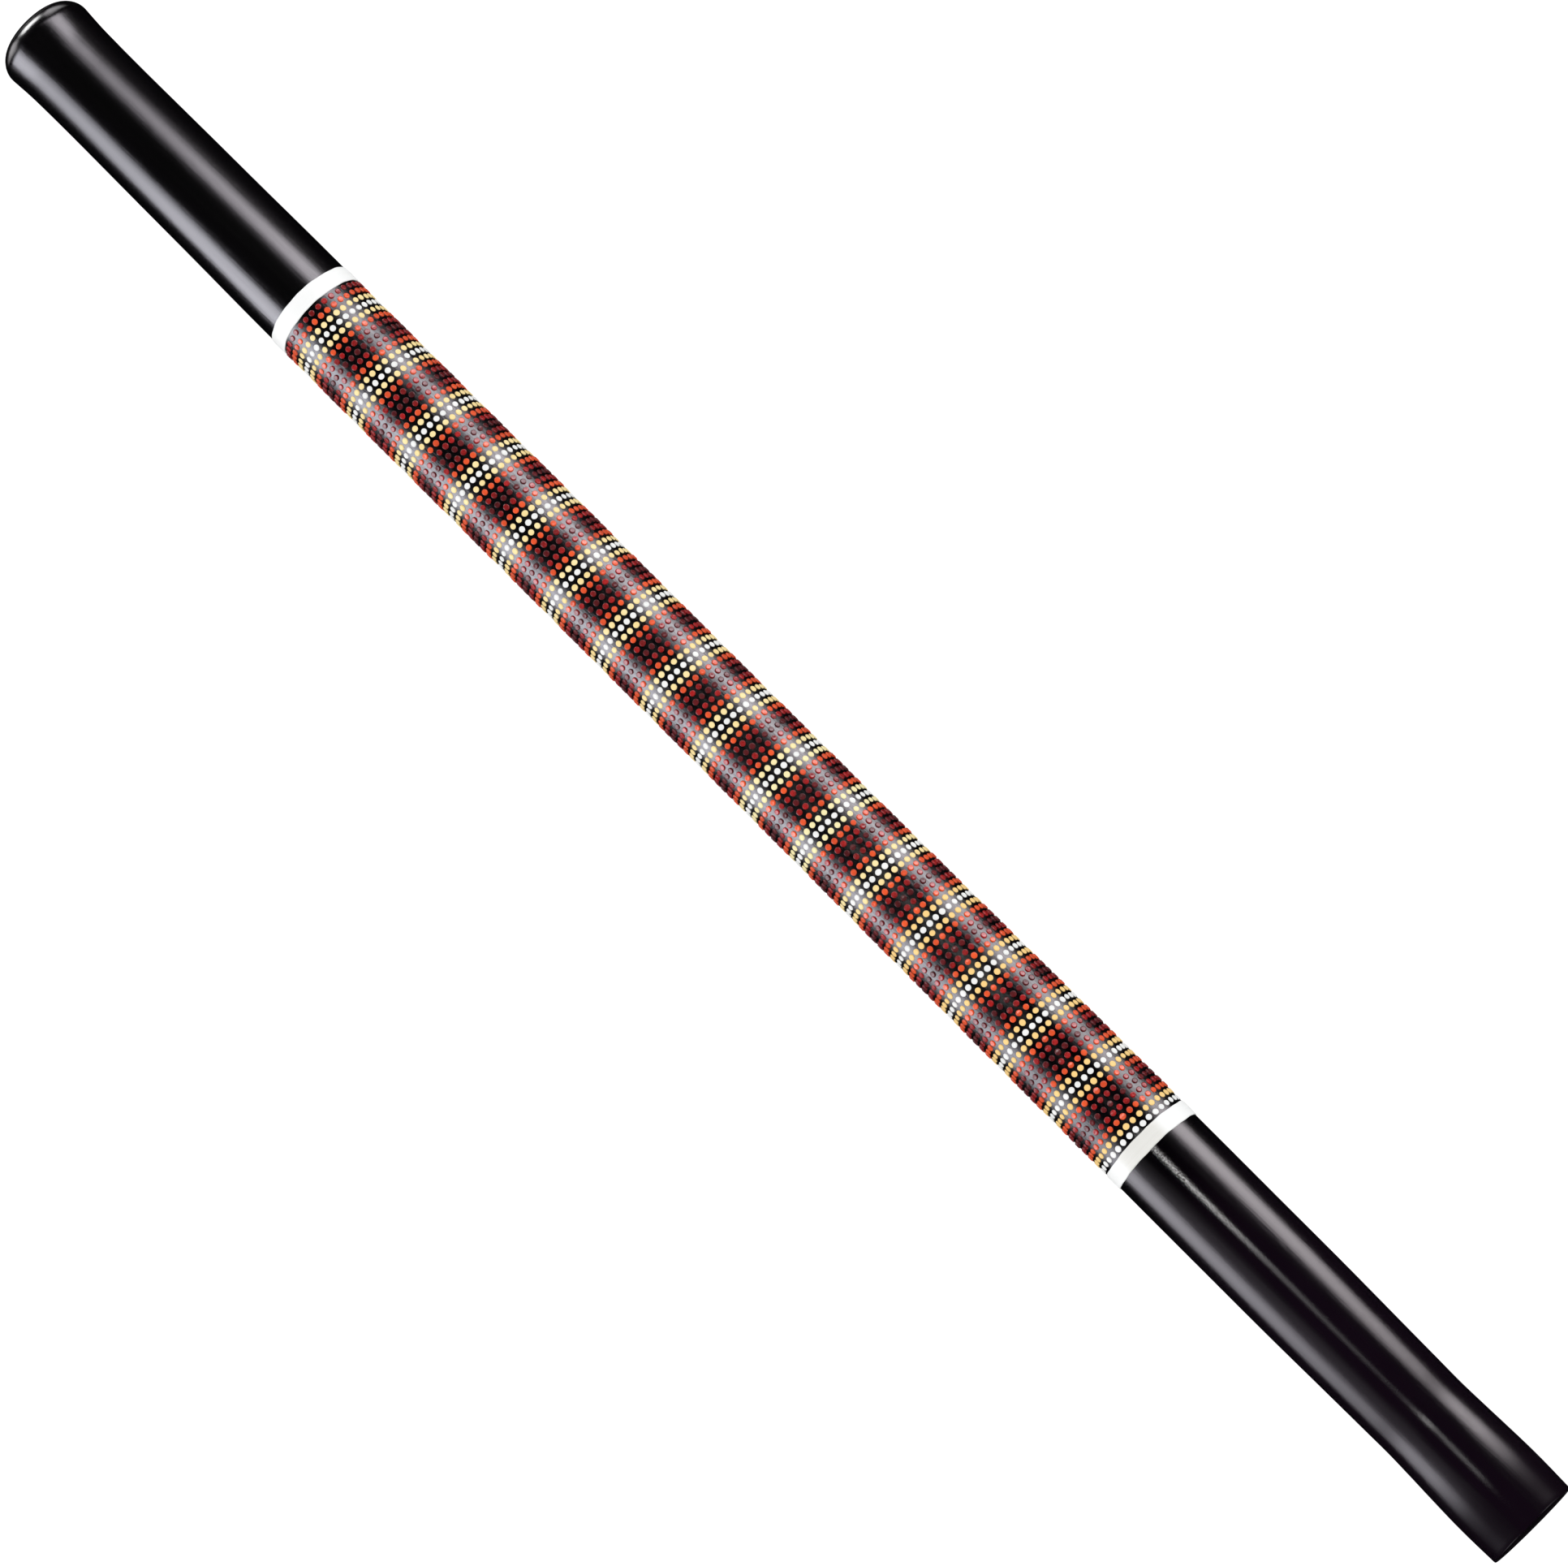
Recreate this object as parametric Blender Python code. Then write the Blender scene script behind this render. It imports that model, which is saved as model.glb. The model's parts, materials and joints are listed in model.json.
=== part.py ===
"""Rainstick: a lacquered synthetic tube with a rounded head, a belled foot, two white bands,
a helical staircase of pins across the bore and loose seeds that pour from end to end.

Frame: metres. The tube lies along X with its axis on the origin, head at +X and foot at -X.
The origin is midway along the whole stick, head plug dome included. Z is up. Angles round the
tube are measured from +Z towards +Y. Dimensions and profiles are in mm, with x measured from
the foot rim towards the head; DATUM_X takes them to the frame.
"""

import math
import random

import bmesh
import bpy

MM = 0.001

# ---------------------------------------------------------------- tube dimensions
# outside of the tube, foot to head: (x, radius)
OUTER = [
    (0.0, 23.90), (5.0, 24.02), (14.0, 24.25), (24.0, 24.33), (39.0, 23.97),
    (53.0, 23.49), (68.0, 23.11), (82.0, 23.25), (112.0, 23.58), (141.0, 23.88),
    (186.0, 24.05), (330.0, 23.95), (410.0, 23.70), (500.0, 23.62), (640.0, 23.86),
    (767.0, 24.02), (838.0, 24.12), (870.0, 23.92), (903.0, 23.78), (936.0, 23.62),
    (960.0, 23.58), (978.0, 23.70), (988.0, 23.92), (995.0, 24.32), (1000.0, 24.70),
]
# bore of the tube, head to foot: (x, radius)
INNER = [
    (1000.0, 20.95), (993.0, 20.40), (980.0, 19.98), (960.0, 19.86), (936.0, 19.92),
    (870.0, 20.20), (767.0, 20.30), (500.0, 19.92), (330.0, 20.22), (186.0, 20.33),
    (112.0, 19.88), (82.0, 19.55), (68.0, 19.41), (53.0, 19.79), (39.0, 20.25),
    (24.0, 20.60), (1.2, 20.40), (0.0, 20.90),
]
SEGMENTS = 48  # flats round the tube
CLEAR = 0.3  # gap left between separate pieces
WALL = 3.7  # wall thickness at the rounded head

HEAD_ROUND_X = 10.8  # rounded shoulder of the head, along the tube
HEAD_ROUND_R = 10.0  # and towards the axis
OUTER_ROUND_STEPS = 6
INNER_ROUND_STEPS = 5
LENGTH = OUTER[-1][0] + HEAD_ROUND_X  # foot rim to head face
MOUTH_R = 13.5  # filling mouth in the head face
MOUTH_CHAMFER = 0.4

# ---------------------------------------------------------------- band dimensions
BANDS = {"upper_white_band": (805.4, 814.4), "lower_white_band": (239.5, 248.2)}
BAND_PROUD = 0.35
BAND_BEVEL_X = 0.5  # bevel at each end of the band, half its proud height deep
BAND_GROOVE = 0.60  # depth of the band's groove below the tube surface

# ---------------------------------------------------------------- pin dimensions
PIN_COUNT = 36
PIN_START = 102.4
PIN_PITCH = 25.0
PIN_STEP_DEG = 30.0  # turn from one pin to the next: the helical staircase
PIN_FIRST_DEG = 15.0
PIN_R = 0.9
PIN_SIDES = 8
SOCKET_R = 1.25
SOCKET_DEPTH = 2.2  # into the wall, blind

# ---------------------------------------------------------------- plug and felt dimensions
HEAD_PLUG_R = MOUTH_R - CLEAR
HEAD_PLUG_LEN = 12.0  # below the head face
HEAD_PLUG_CHAMFER = 1.2
HEAD_PLUG_DOME = 0.85  # how far the domed top stands past the head face
# domed top of the head plug, rim to centre: (x past the head face, radius)
HEAD_PLUG_TOP = [
    (-0.6, HEAD_PLUG_R),
    (0.1, HEAD_PLUG_R - 0.7),
    (0.6, HEAD_PLUG_R * 0.6),
    (0.8, HEAD_PLUG_R * 0.3),
    (HEAD_PLUG_DOME, 0),
]

FOOT_PLUG_X0, FOOT_PLUG_X1 = 46.0, 60.0
FOOT_PLUG_GAP = 0.35  # between the plug and the bore
FOOT_PLUG_CHAMFER = 1.0
FOOT_RECESS_DEPTH = 1.5  # round recess in the plug's foot-side face
FOOT_RECESS_FLOOR_R = 12.0
FOOT_RECESS_RIM_R = 14.0

FELT_THICK = 3.0
HEAD_FELT_R = HEAD_PLUG_R - 1.0
FOOT_FELT_R = 19.0

DATUM_X = (LENGTH + HEAD_PLUG_DOME) / 2  # the frame's origin, from the foot rim

# ---------------------------------------------------------------- seed dimensions
SEED_R = 2.55
SEED_ROUGH = 0.15  # most that a surface point strays from SEED_R
SEED_LANE_R = 16.25  # lane centre from the tube axis
SEED_LANES = {"a": 180.0, "b": 150.0, "c": 210.0}  # lane angles, between those of the pins
SEEDS_PER_LANE = 5
SEED_SPACING = 6.2
SEED_LEAD_X = 91.2  # number 1 of each lane is the one nearest the head


# ---------------------------------------------------------------- helpers
def interpolate(table, x):
    """Linear value of a table of (x, value) pairs at x."""
    rows = sorted(table)
    for (x0, v0), (x1, v1) in zip(rows, rows[1:]):
        if x0 <= x <= x1:
            return v0 + (v1 - v0) * (x - x0) / (x1 - x0)
    raise ValueError(f"x = {x} lies outside the table")


def round_direction(angle_deg):
    """The (y, z) unit direction at an angle from +Z towards +Y."""
    angle = math.radians(angle_deg)
    return math.sin(angle), math.cos(angle)


def material(name, color, roughness, coat=0.0):
    mat = bpy.data.materials.new(name)
    mat.use_nodes = True
    shader = mat.node_tree.nodes["Principled BSDF"]
    shader.inputs["Base Color"].default_value = (*color, 1.0)
    shader.inputs["Roughness"].default_value = roughness
    shader.inputs["Coat Weight"].default_value = coat
    mat.diffuse_color = (*color, 1.0)
    return mat


def new_object(name, bm, mat, origin=(0.0, 0.0, 0.0)):
    """Makes an object of a bmesh given in mm about origin, itself in mm from the foot rim."""
    for vert in bm.verts:
        vert.co = [value * MM for value in vert.co]
    bmesh.ops.recalc_face_normals(bm, faces=bm.faces)
    mesh = bpy.data.meshes.new(name)
    bm.to_mesh(mesh)
    bm.free()
    mesh.materials.append(mat)
    ob = bpy.data.objects.new(name, mesh)
    x, y, z = origin
    ob.location = ((x - DATUM_X) * MM, y * MM, z * MM)
    bpy.context.scene.collection.objects.link(ob)
    return ob


def ring(bm, x, radius):
    """A ring of vertices round the tube axis with a flat facing each multiple of 360/SEGMENTS."""
    verts = []
    for k in range(SEGMENTS):
        angle = 2 * math.pi * (k + 0.5) / SEGMENTS
        verts.append(bm.verts.new((x, radius * math.sin(angle), radius * math.cos(angle))))
    return verts


def bridge(bm, start, end):
    """Quads between two loops with the same number of vertices."""
    count = len(start)
    for k in range(count):
        after = (k + 1) % count
        bm.faces.new((start[k], start[after], end[after], end[k]))


def revolve_loop(profile):
    """A closed profile round the axis: a tube-like solid."""
    bm = bmesh.new()
    rings = [ring(bm, x, radius) for x, radius in profile]
    for start, end in zip(rings, rings[1:] + rings[:1]):
        bridge(bm, start, end)
    return bm


def revolve_solid(profile):
    """A solid disc-like body from an open profile whose first and last points lie on the axis."""
    bm = bmesh.new()
    first = bm.verts.new((profile[0][0], 0, 0))
    last = bm.verts.new((profile[-1][0], 0, 0))
    rings = [ring(bm, x, radius) for x, radius in profile[1:-1]]
    for k in range(SEGMENTS):
        after = (k + 1) % SEGMENTS
        bm.faces.new((first, rings[0][after], rings[0][k]))
        bm.faces.new((last, rings[-1][k], rings[-1][after]))
    for start, end in zip(rings, rings[1:]):
        bridge(bm, start, end)
    return bm


def add_rod(bm, x, angle_deg, half_length, radius):
    """A cylinder centred on the tube axis at x and lying across it along angle_deg."""
    dir_y, dir_z = round_direction(angle_deg)
    ends = []
    for reach in (-half_length, half_length):
        loop = []
        for k in range(PIN_SIDES):
            turn = 2 * math.pi * (k + 0.5) / PIN_SIDES
            side = radius * math.sin(turn)
            y = reach * dir_y + side * dir_z
            z = reach * dir_z - side * dir_y
            loop.append(bm.verts.new((x + radius * math.cos(turn), y, z)))
        ends.append(loop)
    bridge(bm, *ends)
    bm.faces.new(ends[0])
    bm.faces.new(list(reversed(ends[1])))


def quarter_round(x, radius, length, drop, steps):
    """Points of an elliptical shoulder that runs on from (x, radius), without that point."""
    points = []
    for k in range(1, steps + 1):
        angle = math.pi / 2 * k / steps
        points.append((x + length * math.sin(angle), radius - drop * (1 - math.cos(angle))))
    return points


# ---------------------------------------------------------------- pieces
def tube_profile():
    """The closed tube section: outside to the head, through the mouth and back down the bore."""
    grooves = []
    for band_x0, band_x1 in BANDS.values():
        x0, x1 = band_x0 - CLEAR, band_x1 + CLEAR
        r0, r1 = interpolate(OUTER, x0), interpolate(OUTER, x1)
        grooves += [(x0, r0), (x0, r0 - BAND_GROOVE), (x1, r1 - BAND_GROOVE), (x1, r1)]
    # sorting on x alone keeps the order of the two points at each groove wall
    outer = sorted(OUTER + grooves, key=lambda point: point[0])
    outer += quarter_round(*OUTER[-1], HEAD_ROUND_X, HEAD_ROUND_R, OUTER_ROUND_STEPS)
    mouth = [
        (LENGTH, MOUTH_R + MOUTH_CHAMFER),
        (LENGTH - MOUTH_CHAMFER, MOUTH_R),
        (LENGTH - WALL, MOUTH_R),
    ]
    inner_round = quarter_round(
        *INNER[0], HEAD_ROUND_X - WALL, HEAD_ROUND_R - WALL, INNER_ROUND_STEPS
    )
    return outer + mouth + inner_round[::-1] + INNER


def pin_stations():
    """(x, angle, bore radius) of each pin, foot to head."""
    stations = []
    for i in range(PIN_COUNT):
        x = PIN_START + PIN_PITCH * i
        angle = (PIN_FIRST_DEG + PIN_STEP_DEG * i) % 180.0
        stations.append((x, angle, interpolate(INNER, x)))
    return stations


def build_tube(stations, mat):
    """The tube body, with blind sockets for the pins cut from the bore."""
    tube = new_object("tube_body", revolve_loop(tube_profile()), mat)
    sockets = bmesh.new()
    for x, angle, bore in stations:
        add_rod(sockets, x, angle, bore + SOCKET_DEPTH, SOCKET_R)
    cutter = new_object("socket_cutter", sockets, mat)
    cut = tube.modifiers.new("pin sockets", "BOOLEAN")
    cut.operation = "DIFFERENCE"
    cut.solver = "EXACT"
    cut.object = cutter
    depsgraph = bpy.context.evaluated_depsgraph_get()
    cut_mesh = bpy.data.meshes.new_from_object(tube.evaluated_get(depsgraph))
    tube.modifiers.clear()
    tube.data = cut_mesh
    bpy.data.objects.remove(cutter, do_unlink=True)


def build_band(name, x0, x1, mat):
    """A white band, standing clear of the floor and walls of its groove."""
    r0, r1 = interpolate(OUTER, x0), interpolate(OUTER, x1)
    sunk = BAND_GROOVE - CLEAR
    profile = [
        (x0, r0 - sunk),
        (x0, r0 + BAND_PROUD * 0.5),
        (x0 + BAND_BEVEL_X, r0 + BAND_PROUD),
        (x1 - BAND_BEVEL_X, r1 + BAND_PROUD),
        (x1, r1 + BAND_PROUD * 0.5),
        (x1, r1 - sunk),
    ]
    new_object(name, revolve_loop(profile), mat)


def build_head_plug(mat):
    """The plug in the filling mouth, chamfered below and domed on top."""
    bottom = LENGTH - HEAD_PLUG_LEN
    profile = [
        (bottom, 0),
        (bottom, HEAD_PLUG_R - HEAD_PLUG_CHAMFER),
        (bottom + HEAD_PLUG_CHAMFER, HEAD_PLUG_R),
    ]
    profile += [(LENGTH + x, radius) for x, radius in HEAD_PLUG_TOP]
    new_object("head_plug", revolve_solid(profile), mat)


def build_foot_plug(mat):
    """The plug in the neck above the foot, following the taper of the bore."""
    x0, x1 = FOOT_PLUG_X0, FOOT_PLUG_X1
    r0 = interpolate(INNER, x0) - FOOT_PLUG_GAP
    r1 = interpolate(INNER, x1) - FOOT_PLUG_GAP
    profile = [
        (x0 + FOOT_RECESS_DEPTH, 0),
        (x0 + FOOT_RECESS_DEPTH, FOOT_RECESS_FLOOR_R),
        (x0, FOOT_RECESS_RIM_R),
        (x0, r0 - FOOT_PLUG_CHAMFER),
        (x0 + FOOT_PLUG_CHAMFER, r0),
        (x1 - FOOT_PLUG_CHAMFER, r1),
        (x1, r1 - FOOT_PLUG_CHAMFER),
        (x1, 0),
    ]
    new_object("foot_plug", revolve_solid(profile), mat)


def build_felt(name, x0, radius, mat):
    """A felt disc whose foot-side face is at x0."""
    x1 = x0 + FELT_THICK
    new_object(name, revolve_solid([(x0, 0), (x0, radius), (x1, radius), (x1, 0)]), mat)


def build_pins(stations, mat):
    """The staircase pins, each ending just short of its socket floors."""
    for i, (x, angle, bore) in enumerate(stations, 1):
        bm = bmesh.new()
        add_rod(bm, 0.0, angle, bore + SOCKET_DEPTH - CLEAR, PIN_R)
        new_object(f"staircase_pin_{i:02d}", bm, mat, origin=(x, 0.0, 0.0))


def build_seeds(mat):
    """Loose rough seeds, in lanes clear of every pin."""
    random.seed(7)
    for lane, angle in SEED_LANES.items():
        dir_y, dir_z = round_direction(angle)
        for k in range(SEEDS_PER_LANE):
            bm = bmesh.new()
            bmesh.ops.create_icosphere(bm, subdivisions=2, radius=1.0)
            for vert in bm.verts:
                size = SEED_R + random.uniform(-SEED_ROUGH, SEED_ROUGH)
                vert.co = vert.co.normalized() * size
            centre = (SEED_LEAD_X - SEED_SPACING * k, SEED_LANE_R * dir_y, SEED_LANE_R * dir_z)
            new_object(f"seed_{lane}{k + 1}", bm, mat, origin=centre)


# ---------------------------------------------------------------- build
for old in list(bpy.data.objects):
    bpy.data.objects.remove(old, do_unlink=True)

lacquer = material("black_lacquer", color=(0.012, 0.010, 0.014), roughness=0.22, coat=0.6)
plug_black = material("plug_black", color=(0.016, 0.013, 0.017), roughness=0.35, coat=0.3)
band_white = material("band_white", color=(0.90, 0.90, 0.88), roughness=0.40)
felt_grey = material("felt_grey", color=(0.18, 0.17, 0.17), roughness=0.95)
bamboo = material("pin_bamboo", color=(0.58, 0.42, 0.24), roughness=0.60)
seed_brown = material("seed_brown", color=(0.36, 0.22, 0.12), roughness=0.55)

pins = pin_stations()
build_tube(pins, lacquer)
for band_name, (start_x, end_x) in BANDS.items():
    build_band(band_name, start_x, end_x, band_white)
build_head_plug(plug_black)
build_felt("head_felt", LENGTH - HEAD_PLUG_LEN - CLEAR - FELT_THICK, HEAD_FELT_R, felt_grey)
build_foot_plug(plug_black)
build_felt("foot_felt", FOOT_PLUG_X1 + CLEAR, FOOT_FELT_R, felt_grey)
build_pins(pins, bamboo)
build_seeds(seed_brown)
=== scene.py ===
"""Rainstick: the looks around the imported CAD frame.

The stick lies along +X, from its foot rim at FOOT_X to its rounded head, with its axis on
y = z = 0 and +Z up. The tube, bands and plugs get fine turned surfaces, and the raised paint dots
are real domed geometry: rings of evenly spaced dots in an order of colours that repeats.
Sizes on the stick are in mm, with x from the foot rim. Angles round it are from the top,
towards +Y. The stage, lights and camera are in metres.
"""

import json
import math
import random

import bmesh
import bpy
import numpy as np
from mathutils import Matrix, Vector

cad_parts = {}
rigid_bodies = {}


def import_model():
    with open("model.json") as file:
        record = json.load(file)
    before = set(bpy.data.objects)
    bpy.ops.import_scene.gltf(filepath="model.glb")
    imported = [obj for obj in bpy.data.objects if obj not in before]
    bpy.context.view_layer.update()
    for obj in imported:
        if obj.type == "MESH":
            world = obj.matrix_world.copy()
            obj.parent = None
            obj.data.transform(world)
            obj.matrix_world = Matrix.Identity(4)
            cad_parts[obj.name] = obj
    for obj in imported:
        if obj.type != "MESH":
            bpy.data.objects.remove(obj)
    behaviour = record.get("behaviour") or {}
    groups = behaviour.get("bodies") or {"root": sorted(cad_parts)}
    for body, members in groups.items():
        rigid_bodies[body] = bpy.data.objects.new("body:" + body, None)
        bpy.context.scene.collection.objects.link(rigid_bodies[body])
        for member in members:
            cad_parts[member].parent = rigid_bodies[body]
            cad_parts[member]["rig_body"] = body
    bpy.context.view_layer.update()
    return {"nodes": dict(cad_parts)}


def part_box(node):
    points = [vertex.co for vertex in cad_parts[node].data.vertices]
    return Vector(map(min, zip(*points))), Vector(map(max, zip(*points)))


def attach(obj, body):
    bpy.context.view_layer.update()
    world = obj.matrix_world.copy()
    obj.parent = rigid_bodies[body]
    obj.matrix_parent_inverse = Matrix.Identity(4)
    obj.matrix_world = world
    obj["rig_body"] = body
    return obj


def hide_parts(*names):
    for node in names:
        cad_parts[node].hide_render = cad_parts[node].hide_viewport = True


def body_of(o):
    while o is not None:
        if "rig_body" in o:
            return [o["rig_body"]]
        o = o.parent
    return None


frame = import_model()
root = body_of(frame["nodes"]["tube_body"])
# the frame may name no body for the tube
root = root if isinstance(root, str) else "tube"
scene = bpy.context.scene

MM = 0.001
FOOT_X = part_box("tube_body")[0][0]
FLOOR_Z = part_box("tube_body")[0][2] - 0.0003


def x_span(name):
    """Both ends of a CAD piece along the stick."""
    return [(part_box(name)[end][0] - FOOT_X) / MM for end in (0, 1)]


UPPER = x_span("upper_white_band")
LOWER = x_span("lower_white_band")

# ------------------------------------------------------------------ sizes of the stick
SHOULDER_X = 1000.0  # where the head starts to round over
HEAD_DEPTH, HEAD_ROUND = 10.8, 10.0  # the rounding's size along x and along the radius
LENGTH = SHOULDER_X + HEAD_DEPTH
MOUTH_R, WALL = 13.5, 3.7
SHOULDER_SLOPE = 0.068  # carries the tube's last slope into the rounding
INNER_SHOULDER_R = 20.95
TUBE_SEGMENTS, PLUG_SEGMENTS, BAND_SEGMENTS = 144, 96, 288

# the tube's outside: (x, radius)
OUTER = [
    (0.0, 23.90), (5.0, 24.02), (14.0, 24.25), (24.0, 24.33), (39.0, 23.97), (53.0, 23.49),
    (68.0, 23.11), (82.0, 23.25), (112.0, 23.58), (141.0, 23.88), (186.0, 24.05), (330.0, 23.95),
    (410.0, 23.70), (500.0, 23.62), (640.0, 23.86), (767.0, 24.02), (838.0, 24.12),
    (870.0, 23.92), (903.0, 23.78), (936.0, 23.62), (960.0, 23.58), (978.0, 23.70),
    (988.0, 23.92), (995.0, 24.32), (1000.0, 24.66),
]
FOOT_LIP = [(0.0, 23.30), (0.12, 23.62), (0.40, 23.82)]
# the bore from head to foot: (x, radius)
BORE = [
    (990, 20.35), (960, 19.86), (870, 20.20), (767, 20.30), (500, 19.92), (330, 20.22),
    (186, 20.33), (112, 19.88), (82, 19.55), (75, 19.46), (68, 19.41), (60, 19.58), (53, 19.79),
    (46, 20.02), (39, 20.25), (31, 20.44), (24, 20.60), (14, 20.66), (6, 20.58), (1.4, 20.50),
    (0.5, 20.62), (0.1, 20.86), (0.0, 21.2),
]
# a band's section: (share of its width from its middle, height over the tube)
BAND_SECTION = [
    (-0.5, -0.30), (-0.5, 0.10), (-0.49, 0.30), (-0.465, 0.44), (-0.42, 0.50), (-0.30, 0.52),
    (-0.16, 0.50), (-0.05, 0.535), (0.06, 0.50), (0.18, 0.53), (0.32, 0.51), (0.42, 0.48),
    (0.47, 0.40), (0.49, 0.26), (0.5, 0.08), (0.5, -0.30),
]
# the bands' uneven edges: (height, waves round, phase per band, extra phase on the head side)
EDGE_WAVES = [(0.16, 3, 1, 0), (0.10, 7, 2, 1), (0.06, 17, 4, 3)]
FOLD_HEIGHT, FOLDS, FOLDED_ABOVE = 0.02, 5, 0.4  # faint folds on a band's outside
# the head plug: (x from the head end, radius)
HEAD_PLUG = [
    (-12, 0), (-12, 12.0), (-11.6, 12.7), (-10.8, 13.15), (-0.5, 13.2), (-0.15, 13.05),
    (0.10, 12.6), (0.22, 11.6), (0.20, 11.25), (-0.02, 11.05), (-0.02, 10.75), (0.26, 10.5),
    (0.40, 9.0), (0.58, 6.5), (0.74, 3.6), (0.82, 1.4), (0.84, 0),
]
# the foot plug: (x, radius)
FOOT_PLUG = [
    (48.2, 0), (48.1, 4.0), (47.9, 8.0), (47.5, 11.5), (46.6, 13.6), (46.0, 14.2), (46.0, 17.4),
    (46.12, 17.7), (46.0, 18.0), (46.05, 19.0), (46.35, 19.5), (47.0, 19.65), (59.2, 19.25),
    (59.8, 19.0), (60.0, 18.4), (60.0, 0),
]


def spline(table, xs):
    """A smooth curve through a table's points, with the slopes of its neighbours."""
    knots = np.array([row[0] for row in table])
    values = np.array([row[1] for row in table])
    slopes = np.gradient(values, knots)
    i = np.clip(np.searchsorted(knots, xs, side="right") - 1, 0, len(knots) - 2)
    step = knots[i + 1] - knots[i]
    t = np.clip((xs - knots[i]) / step, 0, 1)
    return (
        (2 * t**3 - 3 * t**2 + 1) * values[i]
        + (t**3 - 2 * t**2 + t) * step * slopes[i]
        + (3 * t**2 - 2 * t**3) * values[i + 1]
        + (t**3 - t**2) * step * slopes[i + 1]
    )


def outer_r(x):
    return float(spline(OUTER, np.array([min(max(x, 0.0), SHOULDER_X)]))[0])


def sway(x, angle):
    """The tube's hand-worked unevenness: three long ripples that fade out at both ends."""
    foot_fade, head_fade = 30.0, 60.0
    edge = min(1.0, max(0.0, x / foot_fade), max(0.0, (LENGTH - x) / head_fade))
    return edge * (
        0.035 * math.sin(x / 31.0 + 2.0 * math.sin(angle))
        + 0.030 * math.sin(x / 57.0 + 3 * angle + 1.3)
        + 0.022 * math.sin(x / 13.7 - 2 * angle + 0.4)
    )


def on_stick(x, radius, angle):
    """A point in the frame from its place on the stick."""
    radius *= MM
    return (FOOT_X + x * MM, radius * math.sin(angle), radius * math.cos(angle))


def bridge(build, rings, closed):
    """Joins rings of vertices with quads. A ring of one vertex gets a fan."""
    pairs = list(zip(rings, rings[1:])) + ([(rings[-1], rings[0])] if closed else [])
    for here, after in pairs:
        count = max(len(here), len(after))
        for k in range(count):
            k2 = (k + 1) % count
            if len(here) == 1:
                build.faces.new((here[0], after[k2], after[k]))
            elif len(after) == 1:
                build.faces.new((here[k], here[k2], after[0]))
            else:
                build.faces.new((here[k], here[k2], after[k2], after[k]))


def smooth_object(name, build, material, sharp_deg):
    bmesh.ops.recalc_face_normals(build, faces=build.faces)
    mesh = bpy.data.meshes.new(name)
    build.to_mesh(mesh)
    build.free()
    obj = bpy.data.objects.new(name, mesh)
    scene.collection.objects.link(obj)
    mesh.materials.append(material)
    mesh.shade_smooth()
    mesh.set_sharp_from_angle(angle=math.radians(sharp_deg))
    return obj


def revolve(name, profile, material, closed, segments, sharp_deg, shift=None):
    """Turns a profile of (x, radius) round the axis. An open profile starts and ends on the
    axis. shift(x, angle) adds to the radius."""
    build = bmesh.new()
    rings = []
    for x, radius in profile:
        if radius < 1e-6:
            rings.append([build.verts.new(on_stick(x, 0.0, 0.0))])
            continue
        ring = []
        for k in range(segments):
            angle = 2 * math.pi * k / segments
            extra = shift(x, angle) if shift else 0.0
            ring.append(build.verts.new(on_stick(x, radius + extra, angle)))
        rings.append(ring)
    bridge(build, rings, closed)
    return smooth_object(name, build, material, sharp_deg)


# ------------------------------------------------------------------ material helpers
def add_node(tree, kind, *inputs, **settings):
    """Adds a node with its settings and the values of its first inputs."""
    node = tree.nodes.new(kind)
    for key, value in settings.items():
        setattr(node, key, value)
    for socket, value in zip(node.inputs, inputs):
        socket.default_value = value
    return node


def wire(tree, *pairs):
    for source, target in pairs:
        tree.links.new(source, target)


def empty_tree(owner):
    owner.use_nodes = True
    owner.node_tree.nodes.clear()
    return owner.node_tree


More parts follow.
